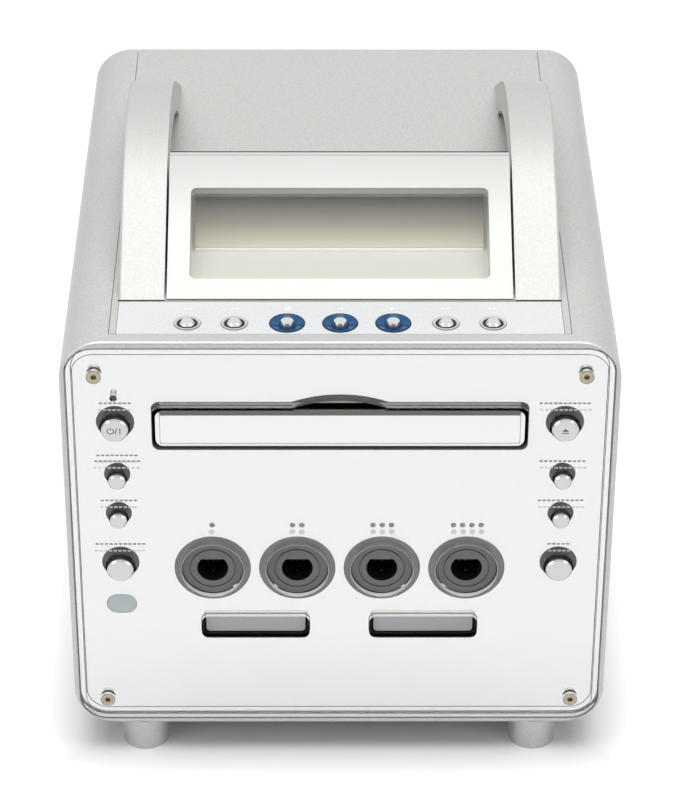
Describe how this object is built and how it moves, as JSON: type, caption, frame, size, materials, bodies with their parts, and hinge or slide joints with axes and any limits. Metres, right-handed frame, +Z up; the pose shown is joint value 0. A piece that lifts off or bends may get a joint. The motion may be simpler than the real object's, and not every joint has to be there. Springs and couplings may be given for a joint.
{
  "type": "video game console",
  "caption": "Upright box-shaped game console with a sliding disc tray, controller ports, card slots, a mirrored clear front, a sloped display and two carrying arms.",
  "frame": {"origin": "on the floor, under the middle of the bounding box", "axes": "+X to the right seen from the front, +Y towards the rear, +Z up"},
  "size_m": [0.18, 0.21, 0.1975],
  "materials": {
    "shell_silver": "matte silver paint with a fine fleck",
    "arm_silver": "matte silver paint with a fine fleck",
    "pod_pearl": "satin pearl silver",
    "base_steel": "grey coated sheet",
    "foot_metal": "grey flecked paint",
    "clear_acrylic": "clear polished acrylic",
    "mirror_film": "mirror",
    "black_plastic": "black moulding",
    "port_grey": "dark grey satin",
    "slot_black": "black moulding",
    "flap_grey": "cool grey",
    "screw_steel": "plated",
    "cap_silver": "silver plated",
    "strip_white": "bluish white gloss",
    "ring_clear": "clear moulding",
    "ring_blue": "translucent blue",
    "lamp_red": "tinted lens",
    "sensor_smoke": "smoked lens",
    "screen_grey": "unlit liquid crystal display",
    "board_green": "coated board",
    "drive_metal": "plated sheet",
    "rail_steel": "ground",
    "drive_plastic": "dark moulding"
  },
  "bodies": {
    "case": {"side_panel_left": "shell_silver", "side_panel_right": "shell_silver", "top_panel": "shell_silver", "front_frame": "shell_silver", "handle_arm_left": "arm_silver", "handle_arm_right": "arm_silver", "display_bezel": "pod_pearl", "display_housing": "pod_pearl", "base_plate": "base_steel", "rear_panel": "base_steel", "deck_brackets": "base_steel", "feet": "foot_metal", "front_window": "clear_acrylic", "display_lens": "clear_acrylic", "mirror_plate": "mirror_film", "front_chassis": "black_plastic", "drive_chassis": "black_plastic", "fan_frame": "black_plastic", "rear_sockets": "black_plastic", "controller_ports": "port_grey", "card_slots": "slot_black", "front_screws": "screw_steel", "control_strip": "strip_white", "clear_rings": "ring_clear", "blue_rings": "ring_blue", "power_lamp": "lamp_red", "sensor_lens": "sensor_smoke", "display_panel": "screen_grey", "main_board": "board_green", "switch_boards": "board_green", "power_supply": "board_green", "traverse_frame": "drive_metal", "spindle_motor": "drive_metal", "loading_motor": "drive_metal", "clamp_bridge": "drive_metal", "pickup_rails": "rail_steel"},
    "tray": {"tray_door": "mirror_film", "disc_tray": "black_plastic"},
    "loading_gear": {"loading_gear": "drive_plastic"},
    "turntable": {"turntable": "drive_plastic"},
    "clamp": {"disc_clamp": "black_plastic"},
    "pickup": {"optical_pickup": "drive_plastic"},
    "fan": {"fan_rotor": "black_plastic"},
    "flap_left": {"card_flap_left": "flap_grey"},
    "flap_right": {"card_flap_right": "flap_grey"},
    "power_button": {"power_button": "cap_silver"},
    "voice_button": {"voice_button": "cap_silver"},
    "cinema_button": {"cinema_button": "cap_silver"},
    "reset_button": {"reset_button": "cap_silver"},
    "open_close_button": {"open_close_button": "cap_silver"},
    "surround_button": {"surround_button": "cap_silver"},
    "bass_button": {"bass_button": "cap_silver"},
    "game_button": {"game_button": "cap_silver"},
    "top_button_1": {"top_button_1": "cap_silver"},
    "top_button_2": {"top_button_2": "cap_silver"},
    "top_button_3": {"top_button_3": "cap_silver"},
    "top_button_4": {"top_button_4": "cap_silver"},
    "top_button_5": {"top_button_5": "cap_silver"},
    "top_button_6": {"top_button_6": "cap_silver"},
    "top_button_7": {"top_button_7": "cap_silver"}
  },
  "joints": [
    {"name": "tray_slide", "type": "slide", "parent": "case", "child": "tray", "axis": [0, -1, 0], "range_m": [0, 0.13]},
    {"name": "loading_gear_spin", "type": "hinge", "parent": "case", "child": "loading_gear", "pos_m": [0.038, -0.07455, 0.1257], "axis": [0, 0, -1], "range_deg": [0, 1070]},
    {"name": "turntable_spin", "type": "hinge", "parent": "case", "child": "turntable", "pos_m": [0, -0.03405, 0.1257], "axis": [0, 0, 1], "continuous": true},
    {"name": "clamp_spin", "type": "hinge", "parent": "case", "child": "clamp", "pos_m": [0, -0.03405, 0.1392], "axis": [0, 0, 1], "continuous": true},
    {"name": "pickup_slide", "type": "slide", "parent": "case", "child": "pickup", "axis": [0, 1, 0], "range_m": [0, 0.032]},
    {"name": "fan_spin", "type": "hinge", "parent": "case", "child": "fan", "pos_m": [-0.042, 0.092, 0.0752], "axis": [0, 1, 0], "continuous": true},
    {"name": "flap_left_hinge", "type": "hinge", "parent": "case", "child": "flap_left", "pos_m": [-0.0281, -0.09965, 0.0557], "axis": [1, 0, 0], "range_deg": [0, 85], "stiffness_Nm_per_rad": 0.0002, "springref_deg": -11.46},
    {"name": "flap_right_hinge", "type": "hinge", "parent": "case", "child": "flap_right", "pos_m": [0.0281, -0.09965, 0.0557], "axis": [1, 0, 0], "range_deg": [0, 85], "stiffness_Nm_per_rad": 0.0002, "springref_deg": -11.46},
    {"name": "power_button_press", "type": "slide", "parent": "case", "child": "power_button", "axis": [0, 1, 0], "range_m": [0, 0.001], "stiffness_N_per_m": 300, "springref_m": -0.002},
    {"name": "voice_button_press", "type": "slide", "parent": "case", "child": "voice_button", "axis": [0, 1, 0], "range_m": [0, 0.001], "stiffness_N_per_m": 300, "springref_m": -0.002},
    {"name": "cinema_button_press", "type": "slide", "parent": "case", "child": "cinema_button", "axis": [0, 1, 0], "range_m": [0, 0.001], "stiffness_N_per_m": 300, "springref_m": -0.002},
    {"name": "reset_button_press", "type": "slide", "parent": "case", "child": "reset_button", "axis": [0, 1, 0], "range_m": [0, 0.001], "stiffness_N_per_m": 300, "springref_m": -0.002},
    {"name": "open_close_button_press", "type": "slide", "parent": "case", "child": "open_close_button", "axis": [0, 1, 0], "range_m": [0, 0.001], "stiffness_N_per_m": 300, "springref_m": -0.002},
    {"name": "surround_button_press", "type": "slide", "parent": "case", "child": "surround_button", "axis": [0, 1, 0], "range_m": [0, 0.001], "stiffness_N_per_m": 300, "springref_m": -0.002},
    {"name": "bass_button_press", "type": "slide", "parent": "case", "child": "bass_button", "axis": [0, 1, 0], "range_m": [0, 0.001], "stiffness_N_per_m": 300, "springref_m": -0.002},
    {"name": "game_button_press", "type": "slide", "parent": "case", "child": "game_button", "axis": [0, 1, 0], "range_m": [0, 0.001], "stiffness_N_per_m": 300, "springref_m": -0.002},
    {"name": "top_button_1_press", "type": "slide", "parent": "case", "child": "top_button_1", "axis": [0, 0, -1], "range_m": [0, 0.0008], "stiffness_N_per_m": 300, "springref_m": -0.002},
    {"name": "top_button_2_press", "type": "slide", "parent": "case", "child": "top_button_2", "axis": [0, 0, -1], "range_m": [0, 0.0008], "stiffness_N_per_m": 300, "springref_m": -0.002},
    {"name": "top_button_3_press", "type": "slide", "parent": "case", "child": "top_button_3", "axis": [0, 0, -1], "range_m": [0, 0.0008], "stiffness_N_per_m": 300, "springref_m": -0.002},
    {"name": "top_button_4_press", "type": "slide", "parent": "case", "child": "top_button_4", "axis": [0, 0, -1], "range_m": [0, 0.0008], "stiffness_N_per_m": 300, "springref_m": -0.002},
    {"name": "top_button_5_press", "type": "slide", "parent": "case", "child": "top_button_5", "axis": [0, 0, -1], "range_m": [0, 0.0008], "stiffness_N_per_m": 300, "springref_m": -0.002},
    {"name": "top_button_6_press", "type": "slide", "parent": "case", "child": "top_button_6", "axis": [0, 0, -1], "range_m": [0, 0.0008], "stiffness_N_per_m": 300, "springref_m": -0.002},
    {"name": "top_button_7_press", "type": "slide", "parent": "case", "child": "top_button_7", "axis": [0, 0, -1], "range_m": [0, 0.0008], "stiffness_N_per_m": 300, "springref_m": -0.002}
  ],
  "couplings": [
    {"joint": "loading_gear_spin", "follows": "tray_slide", "rad_per_m": 142.86},
    {"joint": "clamp_spin", "follows": "turntable_spin", "ratio": 1}
  ]
}
